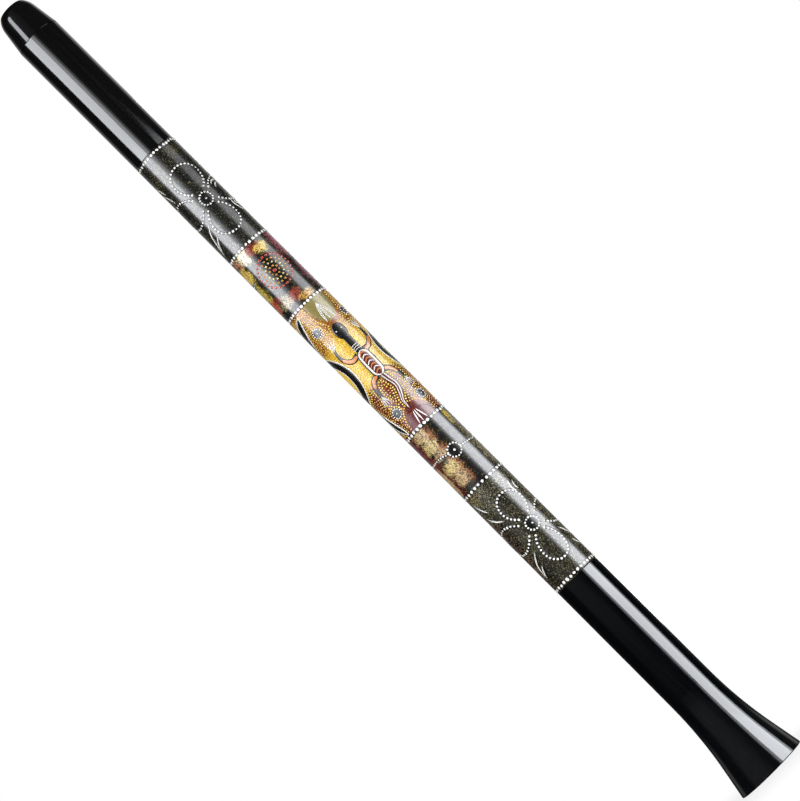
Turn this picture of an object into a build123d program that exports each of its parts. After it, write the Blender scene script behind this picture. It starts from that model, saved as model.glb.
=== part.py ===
from build123d import *
import math
import os

# A straight horn with a moulded mouthpiece, a plain tube and a flared bell.
# The axis is Z, the bell rim stands on Z = 0 and the mouthpiece is on top.
# Every piece is a solid of revolution about Z. Millimetres.

# Lengths along the axis
TOTAL_LENGTH = 1295.0
MOUTHPIECE_BASE = 1245.0
FILM_TOP = 1040.5
BAND_EDGES = [FILM_TOP, 878.0, 777.5, 575.0, 477.0, 321.0]
BAND_NAMES = [
    "film_upper_floral",
    "film_upper_dark",
    "film_centre",
    "film_lower_dark",
    "film_lower_floral",
]
BELL_TOP = BAND_EDGES[-1]
FLARE_START = 133.0
FLARE_ARC_END = 38.0

# Radii and thicknesses
TUBE_TOP_R = 29.6
TUBE_BOTTOM_R = 31.0
FLARE_START_R = 31.3
FLARE_SLOPE = 0.19
WALL = 3.0
FILM_THICKNESS = 0.25
RIM_ROUND = 1.0
JOINT_CHAMFER = 0.4

# Glued spigots: the mouthpiece and the bell each push into the tube
SOCKET_DEEPER = 0.6
MOUTH_SPIGOT_LENGTH = 25.0
BELL_SPIGOT_LENGTH = 40.0
SPIGOT_WALL = 2.4
SPIGOT_LEAD_IN = 10.0

# Mouthpiece
BORE_R = 15.0
BORE_LENGTH = 10.0
CONE_TOP = (24.85, 1279.6)
SHOULDER_TOP = (19.2, 1293.3)
LIP_CREST_R = 15.8
THROAT_R = 22.0
THROAT_Z = 1268.0

MOUTH_SOCKET_R = TUBE_TOP_R - WALL + SOCKET_DEEPER
BELL_SOCKET_R = TUBE_BOTTOM_R - WALL + SOCKET_DEEPER


def revolved(*edges):
    """A solid turned about Z from edges that close an outline in the XZ plane."""
    outline = make_face(Curve() + list(edges))
    return revolve(Plane.XZ * outline, Axis.Z)


def tube_radius(z):
    """Outside radius of the tube: a true cylinder on top, then a slight taper."""
    if z >= FILM_TOP:
        return TUBE_TOP_R
    down = (FILM_TOP - z) / (FILM_TOP - BELL_TOP)
    return TUBE_TOP_R + down * (TUBE_BOTTOM_R - TUBE_TOP_R)


def mouthpiece():
    """Tapered moulding with a rounded lip, a round bore and a spigot."""
    spigot_end = MOUTHPIECE_BASE - MOUTH_SPIGOT_LENGTH
    spigot_in = MOUTH_SOCKET_R - SPIGOT_WALL
    bore_top = TOTAL_LENGTH - (LIP_CREST_R - BORE_R)
    bore_bottom = bore_top - BORE_LENGTH
    cone_foot = (TUBE_TOP_R - JOINT_CHAMFER, MOUTHPIECE_BASE)
    cone = Line((TUBE_TOP_R, MOUTHPIECE_BASE + JOINT_CHAMFER), CONE_TOP)
    shoulder = TangentArc(CONE_TOP, SHOULDER_TOP, tangent=cone % 1)
    crest = (LIP_CREST_R, TOTAL_LENGTH)
    lip = TangentArc(SHOULDER_TOP, crest, tangent=shoulder % 1)
    inner_lip = TangentArc(crest, (BORE_R, bore_top), tangent=(-1, 0))
    inside = Polyline(
        (BORE_R, bore_top),
        (BORE_R, bore_bottom),
        (THROAT_R, THROAT_Z),
        (spigot_in, MOUTHPIECE_BASE - SPIGOT_LEAD_IN),
        (spigot_in, spigot_end),
    )
    outside = Polyline(
        (spigot_in, spigot_end),
        (MOUTH_SOCKET_R - JOINT_CHAMFER, spigot_end),
        (MOUTH_SOCKET_R, spigot_end + JOINT_CHAMFER),
        (MOUTH_SOCKET_R, MOUTHPIECE_BASE),
        cone_foot,
        (TUBE_TOP_R, MOUTHPIECE_BASE + JOINT_CHAMFER),
    )
    return revolved(outside, cone, shoulder, lip, inner_lip, inside)


def body_tube():
    """The long tube, with a socket turned into each end for the spigots."""
    top_socket_end = MOUTHPIECE_BASE - MOUTH_SPIGOT_LENGTH
    bottom_socket_end = BELL_TOP + BELL_SPIGOT_LENGTH
    outline = Polyline(
        (TUBE_BOTTOM_R, BELL_TOP),
        (TUBE_TOP_R, FILM_TOP),
        (TUBE_TOP_R, MOUTHPIECE_BASE - JOINT_CHAMFER),
        (TUBE_TOP_R - JOINT_CHAMFER, MOUTHPIECE_BASE),
        (MOUTH_SOCKET_R, MOUTHPIECE_BASE),
        (MOUTH_SOCKET_R, top_socket_end),
        (TUBE_TOP_R - WALL, top_socket_end),
        (TUBE_TOP_R - WALL, FILM_TOP),
        (tube_radius(bottom_socket_end) - WALL, bottom_socket_end),
        (BELL_SOCKET_R, bottom_socket_end),
        (BELL_SOCKET_R, BELL_TOP),
        (TUBE_BOTTOM_R, BELL_TOP),
    )
    return revolved(outline)


def flare(inwards):
    """The bell's profile, rim to top, moved in towards the axis by a wall thickness."""
    turn = math.atan(FLARE_SLOPE)
    arc_radius = (FLARE_START - FLARE_ARC_END) / math.sin(turn)
    arc_end_r = FLARE_START_R + arc_radius * (1 - math.cos(turn)) - inwards
    rim_r = arc_end_r + FLARE_ARC_END * FLARE_SLOPE
    arc_end = (arc_end_r, FLARE_ARC_END)
    arc_start = (FLARE_START_R - inwards, FLARE_START)
    slope = Line((rim_r, 0), arc_end)
    arc = TangentArc(arc_end, arc_start, tangent=slope % 1)
    return slope, arc


def bell():
    """Flared end: gentle taper, one arc, a straight slope and a rounded rim."""
    spigot_in = BELL_SOCKET_R - SPIGOT_WALL
    spigot_end = BELL_TOP + BELL_SPIGOT_LENGTH
    outer_slope, outer_arc = flare(0)
    inner_slope, inner_arc = flare(WALL)
    collar = Polyline(
        outer_arc @ 1,
        (TUBE_BOTTOM_R, BELL_TOP - JOINT_CHAMFER),
        (TUBE_BOTTOM_R - JOINT_CHAMFER, BELL_TOP),
        (BELL_SOCKET_R, BELL_TOP),
        (BELL_SOCKET_R, spigot_end - JOINT_CHAMFER),
        (BELL_SOCKET_R - JOINT_CHAMFER, spigot_end),
        (spigot_in, spigot_end),
        (spigot_in, BELL_TOP),
        (TUBE_BOTTOM_R - WALL, BELL_TOP - SPIGOT_LEAD_IN),
        inner_arc @ 1,
    )
    rim = Line(inner_slope @ 0, outer_slope @ 0)
    solid = revolved(outer_slope, outer_arc, collar, inner_arc, inner_slope, rim)
    rim_edges = solid.edges().group_by(Axis.Z)[0]
    return fillet(rim_edges, RIM_ROUND)


def film_band(top, bottom):
    """One printed band: a thin skin round the tube."""
    outline = Polyline(
        (tube_radius(bottom), bottom),
        (tube_radius(bottom) + FILM_THICKNESS, bottom),
        (tube_radius(top) + FILM_THICKNESS, top),
        (tube_radius(top), top),
        (tube_radius(bottom), bottom),
    )
    return revolved(outline)


os.makedirs("parts", exist_ok=True)
export_step(mouthpiece(), "parts/mouthpiece.step")
export_step(body_tube(), "parts/body_tube.step")
export_step(bell(), "parts/bell.step")
for name, top, bottom in zip(BAND_NAMES, BAND_EDGES, BAND_EDGES[1:]):
    export_step(film_band(top, bottom), f"parts/{name}.step")
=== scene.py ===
import math
import random
import bpy
import numpy as np
from mathutils import Matrix, Vector


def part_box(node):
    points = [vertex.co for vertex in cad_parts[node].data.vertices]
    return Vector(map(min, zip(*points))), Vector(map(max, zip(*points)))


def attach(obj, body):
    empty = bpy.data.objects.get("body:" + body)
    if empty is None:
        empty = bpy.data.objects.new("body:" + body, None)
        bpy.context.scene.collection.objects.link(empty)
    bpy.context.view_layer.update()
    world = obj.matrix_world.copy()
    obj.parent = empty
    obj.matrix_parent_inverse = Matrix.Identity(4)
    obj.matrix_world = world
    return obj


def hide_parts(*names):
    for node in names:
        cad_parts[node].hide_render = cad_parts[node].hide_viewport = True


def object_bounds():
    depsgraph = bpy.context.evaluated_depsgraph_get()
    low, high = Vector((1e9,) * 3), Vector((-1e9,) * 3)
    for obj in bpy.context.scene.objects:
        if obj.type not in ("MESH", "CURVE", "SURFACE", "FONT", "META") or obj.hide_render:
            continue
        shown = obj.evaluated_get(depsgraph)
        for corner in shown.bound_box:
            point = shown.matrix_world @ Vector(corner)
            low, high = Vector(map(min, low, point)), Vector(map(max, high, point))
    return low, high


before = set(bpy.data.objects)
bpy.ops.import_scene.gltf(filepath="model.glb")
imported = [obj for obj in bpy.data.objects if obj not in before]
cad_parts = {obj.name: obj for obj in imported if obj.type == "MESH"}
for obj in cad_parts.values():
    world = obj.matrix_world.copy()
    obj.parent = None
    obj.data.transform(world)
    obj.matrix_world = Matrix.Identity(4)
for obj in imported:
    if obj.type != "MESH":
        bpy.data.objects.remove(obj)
cad_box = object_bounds()

# A straight horn with a printed sleeve of five bands. The three turned pieces keep their CAD
# meshes and get black lacquer. Each printed film becomes a painted sleeve with raised strokes
# and dots on it.
#
# ---------------------------------------------------------------- sizes, in millimetres
# The printed sleeve is unrolled: u runs round the tube from its front line, positive to
# the right, and v is the height above the bell's rim.
MM = 0.001
LOW_CORNER, HIGH_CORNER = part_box("film_lower_floral")
LOW_RADIUS = HIGH_CORNER.x / MM
LOW_EDGE = LOW_CORNER.z / MM
LOW_CORNER, HIGH_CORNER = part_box("film_upper_floral")
HIGH_RADIUS = HIGH_CORNER.x / MM
HIGH_EDGE = LOW_CORNER.z / MM
TAPER = (HIGH_RADIUS - LOW_RADIUS) / (HIGH_EDGE - LOW_EDGE)
FILM_THICKNESS = LOW_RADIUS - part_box("body_tube")[1].x / MM
SINK = 0.05          # how far paint reaches into the film, so that it has no gap under it
UNDER = 0.05         # paint heights above the film, one layer over another
LAYER = 0.06


def skin_radius(v):
    """Outer radius of the printed film at height v."""
    return LOW_RADIUS + (v - LOW_EDGE) * TAPER


def girth(v):
    """Length of the way round the film at height v."""
    return 2 * math.pi * skin_radius(v)


def wrap(u, v, h):
    """The point in metres that lies h above the film at (u, v)."""
    radius = skin_radius(v)
    angle = u / radius
    return ((radius + h) * math.sin(angle) * MM, -(radius + h) * math.cos(angle) * MM, v * MM)


def edges(film):
    """Lower and upper edge of a film, as heights."""
    low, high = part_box("film_" + film)
    return low.z / MM, high.z / MM


def shade(code):
    """A linear colour from a six-figure screen colour."""
    parts = [int(code[i:i + 2], 16) / 255 for i in (0, 2, 4)]
    return tuple(p / 12.92 if p <= 0.04045 else ((p + 0.055) / 1.055) ** 2.4 for p in parts)


WHITE = shade("fcfbf6")
BLACK = shade("0b0b0c")
SLATE = shade("32353b")
CREAM = shade("e8d48a")
YELLOW = shade("f3c21c")
BRIGHT = shade("f7d64a")
SUNNY = shade("ffd844")
OCHRE = shade("c98a2c")
RUST = shade("9c4a26")
MAROON = shade("5c1d16")
OLIVE = shade("86803f")
BRICK = shade("b5381f")

# ---------------------------------------------------------------- camera
VIEW_DISTANCE = 3.4
VIEW_TILT = math.radians(6.5)
VIEW_ROLL = math.radians(45.04)
VIEW_LENS_MM = 127.84
LOOK_HEIGHT = 0.6175
LOOK_SIDE = -0.0015


def make_camera():
    """A long lens low in front of the tube, rolled so that the tube lies corner to corner."""
    data = bpy.data.cameras.new("camera")
    data.lens = VIEW_LENS_MM
    data.sensor_width = 36.0
    data.clip_end = 50.0
    camera = bpy.data.objects.new("camera", data)
    bpy.context.scene.collection.objects.link(camera)
    target = Vector((LOOK_SIDE, 0.0, LOOK_HEIGHT))
    back = Vector((0.0, -math.cos(VIEW_TILT), -math.sin(VIEW_TILT)))
    camera.location = target + back * VIEW_DISTANCE
    aim = (-back).to_track_quat("-Z", "Y").to_matrix().to_4x4()
    camera.matrix_world = (
        Matrix.Translation(camera.location) @ aim @ Matrix.Rotation(-VIEW_ROLL, 4, "Z")
    )
    bpy.context.scene.camera = camera


# ---------------------------------------------------------------- light
COOL_LIGHT = (0.96, 0.985, 1.03)
BOX_DISTANCE = 1.5
FILL_DISTANCE = 2.4
FILL_WIDTH = 1.8
FILL_FOOT = -0.20
FILL_TOP = 1.80
FILL_RADIANCE = 3.6

# Boxes that show in the gloss: name, azimuth in degrees, width, foot and top in metres, radiance.
# Boxes in one column differ in brightness, which makes a highlight rise and fall along the tube.
GLOSS_BOXES = (
    ("left_top_box", -49.0, 1.27, 1.42, 1.80, 12.5),
    ("left_box", -49.0, 1.27, 1.02, 1.42, 15.5),
    ("left_foot_box", -49.0, 1.27, 0.86, 1.02, 8.0),
    ("left_toe_box", -49.0, 1.27, 0.74, 0.86, 3.5),
    ("left_shoulder_box", -19.0, 0.37, 0.98, 1.80, 4.6),
    ("left_fade_box", -7.5, 0.24, 0.98, 1.80, 1.0),
    ("right_top_box", 62.0, 1.05, 1.16, 1.42, 3.0),
    ("right_high_box", 62.0, 1.05, 0.98, 1.16, 8.0),
    ("right_middle_box", 62.0, 1.10, 0.76, 0.98, 11.0),
    ("right_box", 62.5, 1.16, 0.30, 0.76, 16.0),
    ("right_foot_box", 62.5, 1.16, 0.00, 0.30, 14.0),
    ("right_edge_box", 87.5, 0.20, 0.00, 0.76, 5.0),
    ("right_shoulder_box", 36.5, 0.22, 0.10, 0.98, 3.0),
    ("rear_box", 176.0, 0.50, 0.20, 1.50, 4.0),
)
# An oval box that glints on the lip alone
LIP_BOX = ("lip_box", -48.0, 0.62, 1.80, 2.95, 7.5)
FILLS = (("fill_left", -40.0), ("fill_right", 40.0), ("fill_rear", 180.0))


def softbox(name, azimuth, width, low, high, radiance, distance=BOX_DISTANCE):
    """A softbox facing the axis. Azimuth 0 is in front of the tube, positive to its right."""
    data = bpy.data.lights.new(name, "AREA")
    data.shape = "RECTANGLE"
    data.size = width
    data.size_y = high - low
    data.energy = radiance * width * (high - low) * math.pi
    lamp = bpy.data.objects.new(name, data)
    bpy.context.scene.collection.objects.link(lamp)
    angle = math.radians(azimuth)
    place = Vector((math.sin(angle), -math.cos(angle), 0.0)) * distance
    place.z = (low + high) / 2
    facing = Vector((-place.x, -place.y, 0.0)).to_track_quat("-Z", "Y").to_matrix().to_4x4()
    lamp.matrix_world = Matrix.Translation(place) @ facing
    lamp.visible_camera = False
    return lamp


def make_lights():
    """Long softboxes that show only as highlights, and soft fills that only light the colours."""
    boxes = [softbox(*values) for values in GLOSS_BOXES + (LIP_BOX,)]
    boxes[-1].data.shape = "ELLIPSE"
    for box in boxes:
        box.data.color = COOL_LIGHT
        box.visible_diffuse = False
    for name, azimuth in FILLS:
        fill = softbox(name, azimuth, FILL_WIDTH, FILL_FOOT, FILL_TOP, FILL_RADIANCE, FILL_DISTANCE)
        fill.visible_glossy = False


def add_node(tree, kind, **values):
    """A node with some of its sockets set. Names use underscores for spaces."""
    node = tree.nodes.new(kind)
    for key, value in values.items():
        node.inputs[key.replace("_", " ")].default_value = value
    return node


def smooth_range(tree, source, low, high, to_low=0.0, to_high=1.0):
    """The source, eased from one range of values to another."""
    node = add_node(
        tree, "ShaderNodeMapRange", From_Min=low, From_Max=high, To_Min=to_low, To_Max=to_high
    )
    node.interpolation_type = "SMOOTHSTEP"
    tree.links.new(source, node.inputs["Value"])
    return node.outputs["Result"]


def calculate(tree, kind, first, second):
    """A Math node. Either side may be a socket or a number."""
    node = tree.nodes.new("ShaderNodeMath")
    node.operation = kind
    for socket, value in zip(node.inputs, (first, second)):
        if isinstance(value, (int, float)):
            socket.default_value = value
        else:
            tree.links.new(value, socket)
    return node.outputs[0]


def product(tree, *factors):
    """Sockets and numbers multiplied together, from left to right."""
    result = factors[0]
    for factor in factors[1:]:
        result = calculate(tree, "MULTIPLY", result, factor)
    return result


def studio_glow(tree):
    """What the gloss sees of the room: a pale wall behind, a faint glow in front on the left."""
    where = tree.nodes.new("ShaderNodeTexCoord")
    split = tree.nodes.new("ShaderNodeSeparateXYZ")
    tree.links.new(where.outputs["Generated"], split.inputs[0])
    x, y, z = (split.outputs[axis] for axis in "XYZ")
    rear = product(
        tree,
        smooth_range(tree, y, 0.45, 0.85, 0.03, 0.55),
        smooth_range(tree, x, 0.1, 0.6, 0.75, 1.6),
        smooth_range(tree, z, 0.02, 0.10, 0.06, 1.0),
    )
    front = product(
        tree,
        smooth_range(tree, x, 0.45, -0.35, 0.0, 0.16),
        smooth_range(tree, z, -0.03, 0.04),
        smooth_range(tree, y, -0.1, -0.5),
    )
    return calculate(tree, "ADD", rear, front)


def make_world():
    """White behind the object for the eye, a dim studio in its gloss."""
    world = bpy.data.worlds.new("studio")
    bpy.context.scene.world = world
    world.use_nodes = True
    tree = world.node_tree
    tree.nodes.clear()
    seen = add_node(tree, "ShaderNodeBackground", Color=(1.0, 1.0, 1.0, 1.0), Strength=1.0)
    gloss = add_node(tree, "ShaderNodeBackground", Strength=1.0)
    tree.links.new(studio_glow(tree), gloss.inputs["Color"])
    ray = tree.nodes.new("ShaderNodeLightPath")
    mix = tree.nodes.new("ShaderNodeMixShader")
    out = tree.nodes.new("ShaderNodeOutputWorld")
    tree.links.new(ray.outputs["Is Camera Ray"], mix.inputs["Fac"])
    tree.links.new(gloss.outputs[0], mix.inputs[1])
    tree.links.new(seen.outputs[0], mix.inputs[2])
    tree.links.new(mix.outputs[0], out.inputs["Surface"])
    bpy.context.scene.view_settings.view_transform = "Standard"
    bpy.context.scene.view_settings.look = "None"


# ---------------------------------------------------------------- materials
# Noise scales are in cells to the metre, so 1000 is a grain of one millimetre.
RELIEF = 0.0002
FILM_ROUGHNESS = 0.21
PAINT_ROUGHNESS = 0.25


def new_material(name):
    """A material, its node tree and its shader."""
    material = bpy.data.materials.new(name)
    material.use_nodes = True
    return material, material.node_tree, material.node_tree.nodes["Principled BSDF"]


def noise(tree, scale, detail=2.0, stretch=1.0):
    """Noise with scale cells to the metre, each stretch times as long along the tube."""
    place = tree.nodes.new("ShaderNodeTexCoord")
    mapping = add_node(tree, "ShaderNodeMapping", Scale=(1.0, 1.0, 1.0 / stretch))
    node = add_node(tree, "ShaderNodeTexNoise", Scale=scale, Detail=detail)
    tree.links.new(place.outputs["Object"], mapping.inputs["Vector"])
    tree.links.new(mapping.outputs[0], node.inputs["Vector"])
    return node.outputs["Fac"]


def blend_colour(tree, factor, first, second, kind="MIX"):
    """first turned towards second by factor. Each may be a socket, a colour or a number."""
    node = tree.nodes.new("ShaderNodeMix")
    node.data_type = "RGBA"
    node.blend_type = kind
    for key, value in (("Factor_Float", factor), ("A_Color", first), ("B_Color", second)):
        socket = next(s for s in node.inputs if s.identifier == key)
        if isinstance(value, tuple):
            socket.default_value = (*value, 1.0)
        elif isinstance(value, (int, float)):
            socket.default_value = value
        else:
            tree.links.new(value, socket)
    return next(s for s in node.outputs if s.identifier == "Result_Color")


def tint_by(tree, colour, factor):
    """colour times a grey socket."""
    grey = blend_colour(tree, factor, (0, 0, 0), (1, 1, 1))
    return blend_colour(tree, 1.0, colour, grey, "MULTIPLY")


def add_bump(tree, shader, height, strength):
    """Fine relief from a height socket."""
    bump = add_node(tree, "ShaderNodeBump", Strength=strength, Distance=RELIEF)
    tree.links.new(height, bump.inputs["Height"])
    tree.links.new(bump.outputs[0], shader.inputs["Normal"])


def lacquer(name, tint, streak):
    """Polished black lacquer with polishing streaks along the tube, dust and orange peel."""
    material, tree, shader = new_material(name)
    streaks = noise(tree, 420.0, 3.0, 40.0)
    dust = smooth_range(tree, noise(tree, 1500.0, 1.0), 0.70, 0.80)
    veil = smooth_range(tree, streaks, 0.45, 0.75, 0.0, streak)
    colour = blend_colour(tree, veil, tint, tuple(3.0 * c + 0.001 for c in tint))
    colour = blend_colour(tree, product(tree, dust, 0.008), colour, (0.5, 0.5, 0.5))
    tree.links.new(colour, shader.inputs["Base Color"])
    rough = calculate(tree, "ADD", smooth_range(tree, streaks, 0.3, 0.8, 0.07, 0.13),
                      product(tree, dust, 0.15))
    tree.links.new(rough, shader.inputs["Roughness"])
    add_bump(tree, shader, noise(tree, 260.0, 2.0), 0.05)
    return material


def attribute(tree, name, output="Color"):
    """What the mesh says at each point."""
    node = tree.nodes.new("ShaderNodeAttribute")
    node.attribute_name = name
    return node.outputs[output]


def film_material(name):
    """Printed film: a painted ground, flecks of a second colour as dense as painted, a clear coat."""
    material, tree, shader = new_material(name)
    along = noise(tree, 1000.0, 1.0, 2.5)
    across = noise(tree, 460.0, 1.0, 1 / 2.0)
    grain = calculate(tree, "ADD", along, across)
    clumps = product(tree, noise(tree, 170.0, 2.0), 0.3)
    level = calculate(tree, "ADD", clumps, attribute(tree, "cover", "Fac"))
    level = calculate(tree, "ADD", product(tree, grain, 1.4), level)
    spots = smooth_range(tree, level, 1.76, 2.12)
    thin = smooth_range(tree, noise(tree, 520.0, 1.0), 0.35, 0.65, 0.45, 1.30)
    fleck = tint_by(tree, attribute(tree, "fleck"), thin)
    weave = smooth_range(tree, grain, 0.85, 1.15, 0.60, 1.30)
    ground = tint_by(tree, attribute(tree, "ground"), weave)
    tree.links.new(blend_colour(tree, spots, ground, fleck), shader.inputs["Base Color"])
    rough = smooth_range(tree, grain, 0.85, 1.15, FILM_ROUGHNESS + 0.05, FILM_ROUGHNESS - 0.04)
    tree.links.new(rough, shader.inputs["Roughness"])
    streaks = noise(tree, 500.0, 2.0, 30.0)
    add_bump(tree, shader, calculate(tree, "ADD", product(tree, grain, 0.5), streaks), 0.05)
    return material


def paint_material(name):
    """Raised dots and strokes: each has its own paint colour, with thin and thick places."""
    material, tree, shader = new_material(name)
    patches = smooth_range(tree, noise(tree, 700.0, 3.0), 0.30, 0.70, 0.90, 1.0)
    tree.links.new(tint_by(tree, attribute(tree, "paint"), patches), shader.inputs["Base Color"])
    rough = smooth_range(
        tree, noise(tree, 900.0, 2.0), 0.3, 0.7, PAINT_ROUGHNESS - 0.05, PAINT_ROUGHNESS + 0.08
    )
    tree.links.new(rough, shader.inputs["Roughness"])
    add_bump(tree, shader, noise(tree, 1300.0, 2.0), 0.10)
    return material


# ---------------------------------------------------------------- painted shapes
HOOP_COLUMNS = 120
STRIP = 2.2          # widest strip of a stroke, so that broad strokes still bend round the tube
THINNEST = 0.12


class Paint:
    """Small closed shapes on the sleeve that become one piece. It keeps their footprints,
    each (u, v, radius), so that filling dots can keep clear of them."""

    def __init__(self):
        self.points = []
        self.faces = []
        self.colours = []
        self.footprints = []

    def add_rows(self, rows, colour, closed=False):
        """Joins equal rows of (u, v, h) corners, each row a loop, into one closed skin.

        A closed one runs from the last row back to the first. An open one is capped at its ends.
        """
        start = len(self.points)
        count = len(rows[0])
        for row in rows:
            self.points.extend(wrap(*corner) for corner in row)
            self.colours.extend([colour] * count)
        pairs = [(i, i + 1) for i in range(len(rows) - 1)]
        if closed:
            pairs.append((len(rows) - 1, 0))
        for a, b in pairs:
            for i in range(count):
                j = (i + 1) % count
                self.faces.append((start + a * count + i, start + a * count + j,
                                   start + b * count + j, start + b * count + i))
        if not closed:
            self.faces.append(tuple(start + i for i in reversed(range(count))))
            last = start + (len(rows) - 1) * count
            self.faces.append(tuple(last + i for i in range(count)))

    def dot(self, u, v, size, colour, height=0.3, sides=8, steps=2, stretch=1.0, turn=0.0, lift=0.0):
        """A low dome of paint, drawn out by stretch in the direction turn."""
        rows = []
        for step in range(steps + 1):
            rise = math.pi / 2 * step / (steps + 0.35)
            reach = size / 2 * math.cos(rise)
            top = lift + height * math.sin(rise) if step else -SINK
            row = []
            for side in range(sides):
                angle = 2 * math.pi * side / sides
                a = reach * math.cos(angle) * stretch
                b = reach * math.sin(angle) / stretch
                row.append((u + a * math.cos(turn) - b * math.sin(turn),
                            v + a * math.sin(turn) + b * math.cos(turn), top))
            rows.append(row)
        self.add_rows(rows, colour)
        self.footprints.append((u, v, size / 2))

    def stroke(self, path, width, colour, top, profile=None, closed=False):
        """A brush stroke along a path of (u, v) points.

        profile gives its share of the full width, for 0 at the start to 1 at the end. A closed
        stroke runs from the last point back to the first.
        """
        path = np.array(path, float)
        if closed:
            tangent = np.roll(path, -1, axis=0) - np.roll(path, 1, axis=0)
        else:
            tangent = np.gradient(path, axis=0)
        tangent /= np.linalg.norm(tangent, axis=1)[:, None]
        divisions = max(4, math.ceil(width / STRIP))
        rows = []
        for i, (u, v) in enumerate(path):
            share = profile(i / (len(path) - 1)) if profile else 1.0
            half = max(width * share, THINNEST) / 2
            across = (-tangent[i][1], tangent[i][0])
            row = []
            for k in range(divisions + 1):
                t = 1 - 2 * k / divisions
                h = -SINK if k in (0, divisions) else top * (1 - 0.25 * t * t)
                row.append((u + across[0] * half * t, v + across[1] * half * t, h))
            rows.append(row)
            self.footprints.append((u, v, half))
        self.add_rows(rows, colour, closed)

    def hoop(self, v, width, colour, top):
        """A line right round the tube."""
        rows = []
        for i in range(HOOP_COLUMNS):
            u = girth(v) * i / HOOP_COLUMNS
            rows.append([(u, v - width / 2, -SINK), (u, v - width * 0.4, top),
                         (u, v + width * 0.4, top), (u, v + width / 2, -SINK)])
        self.add_rows(rows, colour, closed=True)

    def build(self, name, material):
        """Makes one piece of everything painted so far."""
        mesh = bpy.data.meshes.new(name)
        mesh.from_pydata(self.points, [], self.faces)
        layer = mesh.color_attributes.new("paint", "FLOAT_COLOR", "POINT")
        colours = np.ones((len(self.points), 4))
        colours[:, :3] = self.colours
        layer.data.foreach_set("color", colours.ravel())
        mesh.polygons.foreach_set("use_smooth", [True] * len(mesh.polygons))
        mesh.validate()
        return add_piece(name, mesh, material)


def add_piece(name, mesh, material):
    """Links a mesh as a piece of the object."""
    mesh.materials.append(material)
    piece = bpy.data.objects.new(name, mesh)
    bpy.context.scene.collection.objects.link(piece)
    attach(piece, "root")
    return piece


def curve(points, pitch=1.2):
    """A smooth line through (u, v) points (a Catmull-Rom spline), as points about pitch apart."""
    p = np.array(points, float)
    p = np.vstack([2 * p[0] - p[1], p, 2 * p[-1] - p[-2]])
    line = []
    for a, b, c, d in zip(p[:-3], p[1:-2], p[2:-1], p[3:]):
        count = max(2, int(np.linalg.norm(c - b) / pitch))
        for t in np.arange(count) / count:
            line.append(0.5 * (2 * b + (c - a) * t + (2 * a - 5 * b + 4 * c - d) * t ** 2
                               + (3 * b - a - 3 * c + d) * t ** 3))
    line.append(p[-2])
    return np.array(line)


def spaced(path, pitch):
    """Points along a path, at equal steps of about pitch."""
    path = np.array(path, float)
    run = np.concatenate([[0], np.cumsum(np.linalg.norm(np.diff(path, axis=0), axis=1))])
    count = max(1, round(run[-1] / pitch))
    marks = np.linspace(0, run[-1], count + 1)
    return np.column_stack([np.interp(marks, run, path[:, k]) for k in (0, 1)])


def ellipse(u, v, half_width, half_height, pitch=1.2):
    """The points of an oval outline, each of them once."""
    count = max(12, int(2 * math.pi * max(half_width, half_height) / pitch))
    return [(u + half_width * math.cos(2 * math.pi * i / count),
             v + half_height * math.sin(2 * math.pi * i / count)) for i in range(count)]


def pointed(t):
    """Width of a stroke that is fine at both ends."""
    return math.sin(math.pi * min(max(t, 0.0), 1.0)) ** 0.7


def rounded(t):
    """Width of a stroke whose whole shape is an oval."""
    return math.sqrt(max(0.0, 1 - (2 * t - 1) ** 2))


def tailed(t):
    """Width of a stroke that starts full, stays broad and runs out to a point."""
    return (1 - t ** 2.4) ** 0.8


def blunt(t):
    """Width of a stroke with short round ends."""
    return min(1.0, 1.9 * math.sqrt(max(0.0, min(t, 1 - t)) * 2))


def dotted(paint, path, size, pitch, under=None):
    """A row of hand-set white dots, over a dark line if under gives its width."""
    if under:
        paint.stroke(path, under, BLACK, UNDER)
    for u, v in spaced(path, pitch):
        paint.dot(u + random.gauss(0, size * 0.03), v + random.gauss(0, size * 0.03),
                  size * (1 + random.gauss(0, 0.08)), WHITE, sides=10, lift=UNDER,
                  stretch=1 + random.uniform(-0.06, 0.06), turn=random.uniform(0, math.pi))


def ring_of_dots(paint, v, size, count):
    """The white dots that close a band, on a black line right round the tube."""
    paint.hoop(v, size * 1.25, BLACK, UNDER)
    step = girth(v) / count
    for i in range(count):
        paint.dot(i * step + random.gauss(0, 0.25), v + random.gauss(0, 0.25),
                  size * (1 + random.gauss(0, 0.07)), WHITE, height=0.45, sides=14, steps=3,
                  lift=UNDER, stretch=1 + random.uniform(-0.08, 0.08), turn=random.uniform(0, 3.1))


def roundel(paint, u, v, radius, count, dot_size, ground=BLACK, centre=2.4):
    """A dark disc with a ring of white dots and one in the middle, of size centre."""
    paint.dot(u, v, radius * 2.1, ground, height=0.05, sides=28, steps=4, lift=UNDER)
    paint.stroke(ellipse(u, v, radius, radius, 0.9), dot_size * 1.25, BLACK, UNDER, closed=True)
    for i in range(count):
        angle = 2 * math.pi * (i + 0.3) / count
        reach = radius * (1 + random.gauss(0, 0.015))
        paint.dot(u + reach * math.cos(angle), v + reach * math.sin(angle),
                  dot_size * (1 + random.gauss(0, 0.07)), WHITE, sides=10, lift=2 * LAYER)
    paint.dot(u, v, centre, WHITE, sides=12, lift=2 * LAYER)


PETAL_GAP = 38       # degrees left open on each side of a petal's root
PETAL_START = 9.0
PETAL_STEPS = 60
PETAL_PITCH = 4.8
ROUNDEL_RADIUS = 8.4
ROUNDEL_DOTS = 14
BLADE_WIDTH = 2.8


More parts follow.
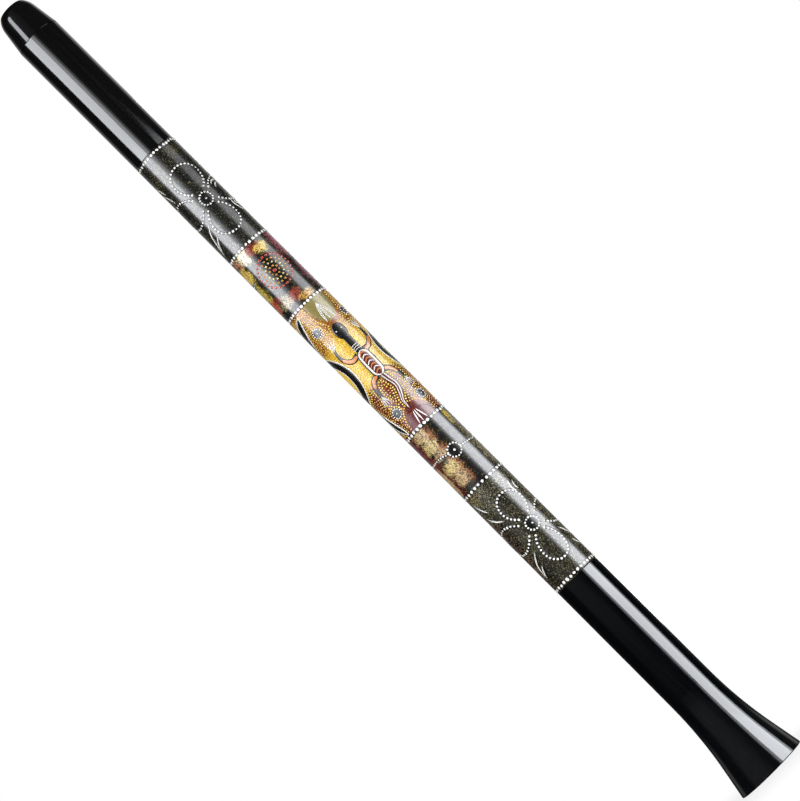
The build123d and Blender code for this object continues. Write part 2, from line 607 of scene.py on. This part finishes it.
def petal_line(u, v, direction, start, end, half_width):
    """The open drop-shaped outline of a petal that leaves (u, v) at this angle."""
    along = np.array([math.cos(direction), math.sin(direction)])
    across = np.array([-along[1], along[0]])
    line = []
    middle = (start + end) / 2
    for i in range(PETAL_STEPS + 1):
        phi = math.radians(PETAL_GAP + (360 - 2 * PETAL_GAP) * i / PETAL_STEPS)
        reach = middle - (end - start) / 2 * math.cos(phi)
        side = half_width * 1.1 * math.sin(phi) * math.sin(phi / 2) ** 0.35
        line.append(np.array([u, v]) + along * reach + across * side)
    return line


def flower(paint, u, v, petals, dot_size=2.8):
    """Petals of dots round a roundel. Each petal is (angle in degrees, length, half width)."""
    for angle, length, half_width in petals:
        line = petal_line(u, v, math.radians(angle), PETAL_START, length, half_width)
        dotted(paint, np.array(line) + (-0.7, 0.5), dot_size, PETAL_PITCH)
        paint.stroke(line, dot_size * 1.6, BLACK, UNDER)
    roundel(paint, u, v, ROUNDEL_RADIUS, ROUNDEL_DOTS, dot_size * 0.9)


def blade(paint, points):
    """A white blade of grass with a dark edge."""
    line = curve(points)
    paint.stroke(line + np.array([0.9, -0.5]), BLADE_WIDTH * 1.4, BLACK, UNDER, pointed)
    paint.stroke(line, BLADE_WIDTH, WHITE, UNDER + LAYER, pointed)


def grass(paint, low, behind, *blades):
    """Blades of grass in front, and each of them again behind, this far round the tube."""
    for points in blades:
        for shift in (0, behind):
            blade(paint, [(a + shift, low + b) for a, b in points])


# ---------------------------------------------------------------- printed films
def sleeve_mesh(name, share, heights):
    """A closed sleeve as thick as the film, with a grid of points at these shares of the way
    round and these heights on its outer wall."""
    columns = len(share)
    loops = [(v, skin_radius(v)) for v in heights]
    loops += [(v, skin_radius(v) - FILM_THICKNESS) for v in (heights[-1], heights[0])]
    angle = share * 2 * math.pi
    points = [np.column_stack([r * np.sin(angle), -r * np.cos(angle), np.full(columns, v)])
              for v, r in loops]
    faces = []
    for row in range(len(loops)):
        following = (row + 1) % len(loops)
        for i in range(columns):
            j = (i + 1) % columns
            faces.append((row * columns + i, row * columns + j,
                          following * columns + j, following * columns + i))
    mesh = bpy.data.meshes.new(name)
    mesh.from_pydata((np.vstack(points) * MM).tolist(), [], faces)
    outside = (len(heights) - 1) * columns
    mesh.polygons.foreach_set("use_smooth", [i < outside for i in range(len(faces))])
    return mesh


def store(mesh, name, values):
    """Keeps a colour or a number for each point of the outer wall. The rest stays white or 0."""
    colour = values.ndim == 3
    if colour:
        layer = mesh.color_attributes.new(name, "FLOAT_COLOR", "POINT")
        full = np.ones((len(mesh.vertices), 4))
        full[:values[..., 0].size, :3] = values.reshape(-1, 3)
    else:
        layer = mesh.attributes.new(name, "FLOAT", "POINT")
        full = np.zeros(len(mesh.vertices))
        full[:values.size] = values.ravel()
    layer.data.foreach_set("color" if colour else "value", full.ravel())


def film_skin(film, cell, painter):
    """The painted sleeve that replaces a CAD film. painter colours the grid of its outer wall."""
    name = "film_" + film
    low, high = edges(film)
    columns = round(girth(low) / cell)
    share = np.arange(columns) / columns
    heights = np.linspace(low, high, round((high - low) / cell) + 1)
    mesh = sleeve_mesh(name + "_print", share, heights)
    centred = np.where(share > 0.5, share - 1, share)
    v = np.repeat(heights, columns).reshape(len(heights), columns)
    u = centred[None, :] * girth(v)
    for key, values in zip(("ground", "fleck", "cover"), painter(u, v)):
        store(mesh, key, values)
    mesh.validate()
    piece = add_piece(name + "_print", mesh, film_material("print_" + film))
    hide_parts(name)


WAVE_COUNT = 14
MEAN_RADIUS = 30
MIDDLE = 500         # a height in the middle of the print, where spots take the way round


def waves(u, v, size, seed):
    """Smooth random values from 0 to 1 with features about size across, closed round the tube."""
    draw = np.random.default_rng(seed)
    total = np.zeros_like(u)
    around = u / skin_radius(v)
    for k in range(WAVE_COUNT):
        turns = round(draw.uniform(-1, 1) * 2 * math.pi * MEAN_RADIUS / size)
        rise = draw.uniform(-1, 1) * 2 * math.pi / size
        total += np.sin(turns * around + rise * v + draw.uniform(0, 2 * math.pi))
    return np.clip(0.5 + total / 10, 0, 1)


def spot(u, v, centre, size, soft=1.0):
    """1 inside an oval, falling to 0 outside it, seen round the back as well."""
    whole = girth(MIDDLE)
    across = (u - centre[0] + whole / 2) % whole - whole / 2
    away = np.sqrt((across / size[0]) ** 2 + ((v - centre[1]) / size[1]) ** 2)
    return np.clip((1.0 + 0.5 * soft - away) / soft, 0, 1)


def lay(base, colour, amount):
    """base with colour laid over it."""
    amount = np.asarray(amount)[..., None]
    return base * (1 - amount) + np.array(colour) * amount


def even(u, colour):
    """The same colour everywhere."""
    return np.ones(u.shape + (3,)) * np.array(colour)


def paint_floral(u, v, low, dark, gold, cover, glints):
    """Speckled olive and black, with brighter places at glints, each (place, size, colour)."""
    cloud = waves(u, v, 34, 3)
    fine = waves(u, v, 11, 8)
    ground = lay(even(u, BLACK), dark, 0.3 + 0.7 * cloud)
    fleck = lay(even(u, gold), shade("8e8454"), 0.4 * fine)
    amount = cover * (0.6 + 0.5 * cloud + 0.3 * fine)
    for (gu, gv), size, colour in glints:
        near = spot(u, v, (gu, low + gv), size, 1.2)
        fleck = lay(fleck, colour, near * 0.9)
        amount = amount + near * 0.09
    return ground, fleck, np.clip(amount, 0, 1)


def paint_upper_floral(u, v):
    """Dark speckle with a few olive glints."""
    low = edges("upper_floral")[0]
    glints = (
        ((-22, 130), (16, 10), shade("8c8358")),
        ((20, 148), (14, 10), shade("8a7c48")),
        ((70, 120), (18, 12), shade("8c8358")),
        ((100, 20), (20, 10), shade("8a7c48")),
    )
    return paint_floral(u, v, low, shade("1b1b19"), shade("706d58"), 0.10, glints)


def paint_lower_floral(u, v):
    """Paler speckle, warmer on the left and at the top."""
    low = edges("lower_floral")[0]
    glints = (
        ((-26, 146), (14, 9), shade("c49a44")),
        ((-38, 75), (10, 60), shade("96705a")),
        ((0, 138), (60, 18), shade("949074")),
        ((38, 80), (10, 90), shade("a0946c")),
        ((80, 130), (18, 12), shade("b8963c")),
    )
    return paint_floral(u, v, low, shade("28261d"), shade("827e64"), 0.15, glints)


def paint_blotches(u, v, low, blotches):
    """Black lacquer with clouds of spattered colour, repeated behind the tube.

    Each is (place, size, colour, cover), and cover says how densely it is spattered.
    """
    ground = lay(even(u, BLACK), shade("1c1a1b"), waves(u, v * 0.08, 5, 21))
    fleck = even(u, OLIVE)
    amount = np.zeros_like(u)
    ragged = waves(u, v, 8, 4)
    fine = waves(u, v, 4.5, 6)
    for repeat in (0, girth(low) / 2):
        for (bu, bv), size, colour, cover in blotches:
            near = spot(u, v, (bu + repeat, low + bv), size, 1.1)
            near = np.clip(near * 1.6 - 0.6 * ragged, 0, 1)
            ground = lay(ground, tuple(0.15 * c for c in colour), near * 0.9)
            fleck = lay(fleck, colour, np.clip(near * 1.5, 0, 1))
            amount = np.maximum(amount, near * cover * (0.60 + 0.40 * fine))
    return ground, fleck, np.clip(amount, 0, 1)


def paint_upper_dark(u, v):
    """Bright clouds of gold, cream, red and pink round the sun."""
    low = edges("upper_dark")[0]
    gold, olive, red = shade("f6d468"), shade("dcc256"), shade("a04a38")
    blotches = (
        ((-29, 91), (9, 11), shade("c88064"), 0.66),
        ((-14, 91), (11, 10), shade("f6e6b8"), 0.80),
        ((12, 86), (9, 8), gold, 0.74),
        ((1, 91), (9, 9), red, 0.66),
        ((6, 86), (5, 5), gold, 0.5),
        ((-33, 73), (10, 13), gold, 0.85),
        ((-35, 40), (9, 22), olive, 0.80),
        ((-33, 22), (9, 8), shade("c0785c"), 0.70),
        ((-16, 17), (12, 9), shade("c4b890"), 0.58),
        ((-24, 26), (8, 6), red, 0.5),
        ((1, 15), (9, 9), red, 0.66),
        ((11, 7), (10, 6), shade("f0bc60"), 0.62),
        ((38, 78), (13, 22), shade("b86a72"), 0.60),
        ((40, 28), (12, 24), shade("a0606c"), 0.50),
        ((54, 76), (9, 12), gold, 0.7),
        ((60, 22), (9, 12), shade("cf6a48"), 0.7),
    )
    return paint_blotches(u, v, low, blotches)


def paint_lower_dark(u, v):
    """Rust clouds with gold hearts, wine red beside them."""
    low = edges("lower_dark")[0]
    gold, pale, rust, wine = shade("d4b280"), shade("e6cc88"), shade("a46c48"), shade("7c3c38")
    blotches = (
        ((-35, 50), (11, 60), wine, 0.62),
        ((-8, 84), (8, 13), rust, 0.70),
        ((-8, 62), (8, 10), rust, 0.66),
        ((-8, 37), (8, 14), rust, 0.68),
        ((-6, 17), (6, 9), rust, 0.58),
        ((-18, 89), (10, 9), gold, 0.66),
        ((-17, 72), (10, 9), pale, 0.72),
        ((-15, 57), (8, 6), gold, 0.55),
        ((-17, 38), (10, 9), pale, 0.70),
        ((-16, 20), (10, 9), gold, 0.68),
        ((32, 84), (5, 15), shade("ffd850"), 0.80),
        ((36, 40), (9, 46), shade("a49a74"), 0.45),
        ((50, 66), (8, 20), wine, 0.7),
        ((57, 28), (7, 20), gold, 0.7),
    )
    return paint_blotches(u, v, low, blotches)


YELLOW_TOP = 146     # heights above the centre band's lower edge
YELLOW_FOOT = 82


def paint_centre(u, v):
    """Ochre at the top, bright yellow round the animal, maroon below, each edge broken up."""
    low = edges("centre")[0]
    height = v - low + 9 * (waves(u, v, 26, 12) - 0.5)
    below_ochre = np.clip((YELLOW_TOP - height) / 8, 0, 1)
    maroon = np.clip((YELLOW_FOOT - height) / 7, 0, 1)
    ground = lay(even(u, shade("a0642e")), shade("7c4020"), 0.7 * waves(u, v, 15, 5))
    ground = lay(ground, YELLOW, below_ochre)
    ground = lay(ground, YELLOW, spot(u, v, (6, low + 116), (30, 36), 0.5))
    ground = lay(ground, shade("6a2a2c"), maroon)
    ground = lay(ground, shade("2c0e0e"), 0.6 * maroon * waves(u, v, 12, 9))
    fleck = lay(even(u, OCHRE), shade("f0d060"), np.clip((YELLOW_TOP - height) / 12, 0, 1))
    fleck = lay(fleck, RUST, np.clip((YELLOW_FOOT - 2 - height) / 12, 0, 1))
    return ground, fleck, 0.10 + 0.30 * waves(u, v, 8, 17)


# ---------------------------------------------------------------- the bands' artwork
def draw_upper_floral(paint):
    """A flower of four dotted petals in front and one behind, with blades of grass."""
    low = edges("upper_floral")[0]
    u, v = 6.0, low + 74
    flower(paint, u, v, [(88, 53, 20.5), (180, 53, 20), (270, 53, 19), (0, 53, 20)])
    back = u + girth(v) / 2
    flower(paint, back, v, [(90, 53, 20), (180, 40, 17), (270, 53, 19), (0, 40, 17)])
    grass(paint, low, 94,
          [(-15, 50), (-25, 38), (-35, 11)], [(-18, 33), (-27, 24), (-34, 13)],
          [(-41, 132), (-36, 124), (-31, 114)], [(-42, 118), (-34, 110), (-29, 99)],
          [(32, 59), (31, 48), (38, 36)], [(36, 60), (37, 51), (44, 42)],
          [(25, 84), (31, 88), (40, 88)], [(28, 78), (31, 82), (36, 84)])


def draw_lower_floral(paint):
    """The same as in the upper floral band, in its own proportions."""
    low = edges("lower_floral")[0]
    u, v = 7.0, low + 80
    flower(paint, u, v, [(92, 50, 17.5), (182, 55, 19.5), (270, 55, 16), (0, 54, 18)], 3.1)
    back = u + girth(v) / 2
    flower(paint, back, v, [(90, 50, 18), (180, 41, 17), (270, 55, 16), (0, 41, 17)])
    grass(paint, low, 96,
          [(-36, 144), (-31, 134), (-24, 125)], [(-36, 122), (-27, 112), (-17, 105)],
          [(-17, 54), (-29, 40), (-34, 24)], [(-23, 37), (-29, 30), (-33, 22)],
          [(24, 138), (21, 128), (23, 120)], [(30, 134), (27, 127), (28, 121)],
          [(29, 56), (36, 48), (44, 40)], [(32, 35), (38, 28), (45, 24)])


# Radius, number of dots, dot size and colour of each ring of the sun
SUN_RINGS = (
    (6.0, 8, 2.6, OCHRE),
    (11.0, 14, 2.6, CREAM),
    (16.0, 20, 2.8, OCHRE),
    (21.5, 26, 3.6, BRICK),
)


def draw_upper_dark(paint):
    """A plain sun of concentric dots, and a short dotted line at each side."""
    low = edges("upper_dark")[0]
    for u in (3.0, 3.0 + girth(low) / 2):
        v = low + 54
        for reach, count, size, colour in SUN_RINGS:
            for i in range(count):
                angle = 2 * math.pi * (i + 0.5) / count
                paint.dot(u + reach * math.cos(angle), v + reach * math.sin(angle),
                          size * (1 + random.gauss(0, 0.06)), colour, sides=10)
        paint.dot(u, v, 4.6, BRICK, sides=16, steps=3)
    for side in (-48, 46, -140):
        line = curve([(side, low + 62), (side + 8, low + 60), (side + 17, low + 61)])
        dotted(paint, line, 2.0, 3.2, under=2.4)


def draw_lower_dark(paint):
    """A roundel in front and one behind, joined by waving dotted lines."""
    low = edges("lower_dark")[0]
    v = low + 50
    half = girth(v) / 2
    for u in (3.0, 3.0 + half):
        link = curve([(u + 9, v - 1), (u + 20, v - 2), (u + 34, v - 3), (u + 46, v + 4),
                      (u + half - 34, v + 5), (u + half - 22, v + 5), (u + half - 9, v + 1)])
        dotted(paint, link, 2.6, 3.9, under=4.2)
        roundel(paint, u, v, 8.5, ROUNDEL_DOTS, 2.5, centre=3.4)


def leaf(paint, points, width):
    """A dark leaf with a white edge."""
    line = curve(points)
    paint.stroke(line, width, WHITE, UNDER + LAYER, pointed)
    paint.stroke(line[2:-2], width - 3.6, BLACK, UNDER + 2 * LAYER, pointed)


def oval_ring(paint, u, v, half_width, half_height):
    """A broad black oval edged with white, yellow inside."""
    inner = (half_width * 0.66, half_height * 0.64)
    line = curve([(u, v - inner[1]), (u, v + inner[1])])
    paint.stroke(line, inner[0] * 2, SUNNY, UNDER, rounded)
    middle = ellipse(u, v, half_width * 0.83, half_height * 0.82)
    paint.stroke(middle, half_width * 0.36, BLACK, UNDER + LAYER, closed=True)
    paint.stroke(ellipse(u, v, half_width, half_height), 1.9, WHITE, UNDER + 2 * LAYER, closed=True)
    paint.stroke(ellipse(u, v, *inner), 1.7, WHITE, UNDER + 2 * LAYER, closed=True)


def lobe(paint, u, foot, tip, width, colour):
    """A tongue of plain colour that grows from a band's edge, straight-sided, with a round tip."""
    paint.stroke(curve([(u, foot), (u, tip)]), width, colour, UNDER,
                 lambda t: max(0.0, 1 - t ** 3) ** 0.5)


LIMB_WIDTH = 6.6
TOE_SPREADS = (-34, -12, 12, 34)     # degrees


def limb(paint, points, colour, toe_length):
    """An outlined limb, stout at the body, that ends in a fan of thin toes."""
    line = curve(points)
    paint.stroke(line, LIMB_WIDTH + 3.2, shade("1c1c20"), UNDER + LAYER, lambda t: 1 - 0.5 * t)
    paint.stroke(line[1:int(len(line) * 0.66)], LIMB_WIDTH, colour, UNDER + 2 * LAYER, blunt)
    heading = math.atan2(*(line[-1] - line[-4])[::-1])
    for spread in TOE_SPREADS:
        toe = []
        for reach, share in ((-2.0, 0.2), (toe_length * 0.5, 0.9), (toe_length, 0.8)):
            angle = heading + math.radians(spread * share)
            toe.append(line[-1] + np.array((reach * math.cos(angle), reach * math.sin(angle))))
        paint.stroke(curve(toe), 1.7, shade("e4e4e0"), UNDER + 3 * LAYER, pointed)


def draw_lizard(paint, u, low):
    """A plain garden lizard seen from above, its head up."""
    def at(points):
        """Points measured from the lizard's midline and the band's lower edge."""
        return [(u + a, low + b) for a, b in points]

    skin = shade("dc8a4a")
    limb(paint, at([(-5, 113), (-15, 112), (-23, 120), (-24, 130), (-22.5, 137)]), skin, 16)
    limb(paint, at([(5, 113), (14, 114), (23, 122), (25, 132), (25, 138)]), skin, 15)
    limb(paint, at([(-5, 80), (-14, 77), (-19, 69), (-20.5, 62), (-21, 57)]), skin, 14)
    limb(paint, at([(5, 81), (12, 77), (17, 69), (19, 62), (20, 56)]), skin, 14)
    tail = curve(at([(-1, 80), (1, 68), (3, 57), (0, 47), (-5, 37), (-6, 25)]))
    paint.stroke(tail, 9.4, BLACK, UNDER, tailed)
    paint.stroke(tail, 7.4, WHITE, UNDER + LAYER, tailed)
    paint.stroke(tail[:-3], 4.4, MAROON, UNDER + 2 * LAYER, tailed)
    trunk = curve(at([(-0.5, 75), (0, 96), (0.5, 117)]))

    def barrel(t):
        """Width of the trunk: blunt ends, fullest in the middle."""
        return blunt(t) * (0.86 + 0.14 * math.sin(math.pi * t))

    paint.stroke(trunk, 21.0, BLACK, UNDER + LAYER, barrel)
    paint.stroke(trunk[1:-1], 18.4, WHITE, UNDER + 2 * LAYER, barrel)
    paint.stroke(trunk[2:-2], 14.6, MAROON, UNDER + 3 * LAYER, barrel)
    for k in range(7):
        v = 83 + 4.7 * k
        bar = curve(at([(-5.4, v - 2.2), (0, v + 1.4), (5.4, v - 2.2)]))
        paint.stroke(bar, 2.4, WHITE if k % 2 else skin, UNDER + 4 * LAYER, pointed)
    neck = curve(at([(0.5, 113), (0.5, 146)]))
    paint.stroke(neck, 11.5, BLACK, UNDER + LAYER)
    head = curve(at([(0.5, 137), (0.5, 161)]))
    paint.stroke(head, 17.5, BLACK, UNDER + 2 * LAYER, rounded)
    for side in (-1, 1):
        paint.dot(u + 0.5 + side * 4.2, low + 151, 2.0, WHITE, lift=UNDER + 2 * LAYER, sides=12)
    for k in range(3):
        v = 118.5 + 3.0 * k
        paint.stroke(curve(at([(-4.8, v), (0.5, v + 0.6), (5.8, v)])), 1.2, WHITE, UNDER + 2 * LAYER)


def draw_centre(paint):
    """Plain tongues at both edges, leaves and ovals at the sides, roundels, and the lizard."""
    low, high = edges("centre")
    lobe(paint, 12, high + 1, high - 37, 37, shade("8c8046"))
    for tip in (4, 10, 17):
        line = curve([(9.5, high - 9), (9 + (tip - 9) * 0.7, high - 22), (tip, high - 36)])
        paint.stroke(line, 3.6, WHITE, UNDER + LAYER, pointed)
        paint.stroke(line[2:-2], 1.4, BLACK, UNDER + 2 * LAYER, pointed)
    lobe(paint, 4, low - 1, low + 20, 40, shade("602830"))
    for tip in (-4, 2, 9):
        line = curve([(2.5 + (tip - 2) * 0.3, low + 20), (tip, low + 2)])
        paint.stroke(line, 2.4, WHITE, UNDER + LAYER, pointed)
    leaf(paint, [(-19, high - 5), (-32, high - 20), (-42, high - 38), (-48, high - 62)], 17)
    leaf(paint, [(-25, low + 3), (-34, low + 20), (-41, low + 36), (-46, low + 52)], 14)
    leaf(paint, [(44, high - 5), (58, high - 18), (64, high - 36), (66, high - 56)], 15)
    leaf(paint, [(42, low + 4), (54, low + 18), (62, low + 34), (66, low + 50)], 14)
    oval_ring(paint, -52, low + 101, 33, 40)
    oval_ring(paint, 62, low + 101, 33, 38)
    for u, v in ((-16, high - 36), (35, high - 36), (-16, low + 31), (26, low + 29),
                 (90, high - 30), (92, low + 28), (-80, high - 30), (-78, low + 30)):
        roundel(paint, u, v, 5.9, 12, 2.1, SLATE, 2.0)
    draw_lizard(paint, 6.5, low)


ROW_START = 1.5      # from a motif's edge to the first row of filling dots
ROW_STEP = 3.2
ROW_COUNT = 14
DOT_PITCH = 3.05
SEARCH_STEP = 0.55   # grid of the places that are tried for a dot


def distance_from(footprints, u, v, whole):
    """How far each (u, v) is from the nearest footprint, either way round a tube of girth whole."""
    away = np.full(u.shape, 1e3)
    for fu, fv, fr in footprints:
        across = (u - fu + whole / 2) % whole - whole / 2
        away = np.minimum(away, np.hypot(across, v - fv) - fr)
    return away


def follow_rows(u, v, pitch, whole):
    """Picks places about pitch apart from crowded ones, each the nearest to the last picked."""
    left = np.ones(len(u), bool)
    picked = []
    here = None
    while left.any():
        open_places = np.flatnonzero(left)
        if here is None:
            best = open_places[0]
        else:
            across = (u[open_places] - here[0] + whole / 2) % whole - whole / 2
            gap = np.hypot(across, v[open_places] - here[1])
            best = open_places[gap.argmin()]
        here = (u[best], v[best])
        picked.append(here)
        across = (u - here[0] + whole / 2) % whole - whole / 2
        left &= np.hypot(across, v - here[1]) >= pitch
    return picked


def filling_colour(row, height):
    """Bright dots along the motifs and, farther off, dots that suit the ground."""
    if row < 2 and not YELLOW_FOOT + 2 < height < YELLOW_TOP:
        colours = (BRIGHT, BRIGHT, shade("ffe880"))
    elif height > YELLOW_TOP:
        colours = (shade("e8c464"), shade("d89a50"), shade("f0d890"))
    elif height > YELLOW_FOOT + 2:
        colours = (shade("ffdc6c"), shade("eab83c"), shade("f4cc4c"))
    else:
        colours = (shade("f0a860"), shade("e08850"), shade("f8cc6c"))
    return random.choice(colours)


def fill_with_dots(motifs, dots):
    """Rows of small dots that echo the outlines of the motifs."""
    low, high = edges("centre")
    whole = girth((low + high) / 2)
    u, v = np.meshgrid(np.arange(-whole / 2, whole / 2, SEARCH_STEP),
                       np.arange(low + 4.5, high - 4.0, SEARCH_STEP))
    u, v = u.ravel(), v.ravel()
    away = distance_from(motifs.footprints, u, v, whole)
    for row in range(ROW_COUNT):
        on = np.abs(away - (ROW_START + ROW_STEP * row)) < 0.30
        if not on.any():
            break
        for dot_u, dot_v in follow_rows(u[on], v[on], DOT_PITCH, whole):
            colour = filling_colour(row, dot_v - low + random.gauss(0, 3))
            size = (2.3 if row == 0 else 2.05) * (1 + random.gauss(0, 0.09))
            dots.dot(dot_u, dot_v, size, colour, height=0.22, sides=7, steps=2)


# ---------------------------------------------------------------- floor
FLOOR_RADIUS = 1.4
FLOOR_CORNERS = 96
FLOOR_DROP = 0.0002


def make_floor():
    """A plain pale disc that fades into the white behind it."""
    corners = []
    for i in range(FLOOR_CORNERS):
        angle = 2 * math.pi * i / FLOOR_CORNERS
        corners.append((FLOOR_RADIUS * math.cos(angle), FLOOR_RADIUS * math.sin(angle), 0.0))
    mesh = bpy.data.meshes.new("floor")
    mesh.from_pydata(corners, [], [tuple(range(FLOOR_CORNERS))])
    floor = bpy.data.objects.new("floor", mesh)
    bpy.context.scene.collection.objects.link(floor)
    floor.location.z = cad_box[0].z - FLOOR_DROP
    floor.visible_glossy = False
    mesh.materials.append(floor_material())


def floor_material():
    """Matt pale grey near the object, where its shade falls, and glowing white farther off."""
    material, tree, shader = new_material("pale_floor")
    shader.inputs["Base Color"].default_value = (0.9, 0.9, 0.9, 1.0)
    shader.inputs["Roughness"].default_value = 0.9
    shader.inputs["Specular IOR Level"].default_value = 0.0
    place = tree.nodes.new("ShaderNodeTexCoord")
    length = tree.nodes.new("ShaderNodeVectorMath")
    length.operation = "LENGTH"
    tree.links.new(place.outputs["Object"], length.inputs[0])
    fade = smooth_range(tree, length.outputs["Value"], 0.03, 0.30, 0.80, 1.0)
    glow = add_node(tree, "ShaderNodeEmission", Color=(1.0, 1.0, 1.0, 1.0), Strength=1.0)
    mix = tree.nodes.new("ShaderNodeMixShader")
    tree.links.new(fade, mix.inputs["Fac"])
    tree.links.new(shader.outputs[0], mix.inputs[1])
    tree.links.new(glow.outputs[0], mix.inputs[2])
    tree.links.new(mix.outputs[0], tree.nodes["Material Output"].inputs["Surface"])
    return material


# ---------------------------------------------------------------- making it all
# Each band from the top down: grid cell of its sleeve, its painter and its artwork
BANDS = {
    "upper_floral": (1.5, paint_upper_floral, draw_upper_floral),
    "upper_dark": (1.3, paint_upper_dark, draw_upper_dark),
    "centre": (1.0, paint_centre, draw_centre),
    "lower_dark": (1.3, paint_lower_dark, draw_lower_dark),
    "lower_floral": (1.5, paint_lower_floral, draw_lower_floral),
}

# Rings of white dots from the top down: dot size, number of dots, and height above the film edge.
# The top and bottom rings lie just inside the printed sleeve.
DOT_RINGS = (
    (3.5, 36, -3.8),
    (4.0, 32, 0.0),
    (4.0, 35, 0.0),
    (4.3, 32, 0.5),
    (4.2, 29, 0.5),
    (3.9, 33, 4.0),
)

# Lacquer of the turned pieces: tint, and how strongly its streaks show
LACQUERS = {
    "mouthpiece": (shade("0a0a0b"), 0.3),
    "body_tube": (shade("080808"), 0.4),
    "bell": (shade("050608"), 0.3),
}


def dress_cad_nodes():
    """Lacquer on the three turned pieces."""
    for node, (tint, streak) in LACQUERS.items():
        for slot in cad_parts[node].material_slots:
            slot.material = lacquer("lacquer_" + node, tint, streak)


def dress_films():
    """A painted sleeve in place of each film."""
    for film, (cell, painter, _) in BANDS.items():
        film_skin(film, cell, painter)


def draw_dot_rings(enamel):
    """A ring at each film edge."""
    films = list(BANDS)
    heights = [edges(film)[1] for film in films] + [edges(films[-1])[0]]
    for number, (v, (size, count, rise)) in enumerate(zip(heights, DOT_RINGS), 1):
        paint = Paint()
        ring_of_dots(paint, v + rise, size, count)
        paint.build("dot_ring_" + str(number), enamel)


def draw_artwork():
    """Everything raised: motifs, the dots that fill the centre band, and the rings."""
    enamel = paint_material("raised_paint")
    for film, (_, _, draw) in BANDS.items():
        paint = Paint()
        draw(paint)
        paint.build("motifs_" + film, enamel)
        if film == "centre":
            dots = Paint()
            fill_with_dots(paint, dots)
            dots.build("dots_centre", enamel)
    draw_dot_rings(enamel)


random.seed(11)
make_camera()
make_lights()
make_world()
dress_cad_nodes()
dress_films()
draw_artwork()
make_floor()
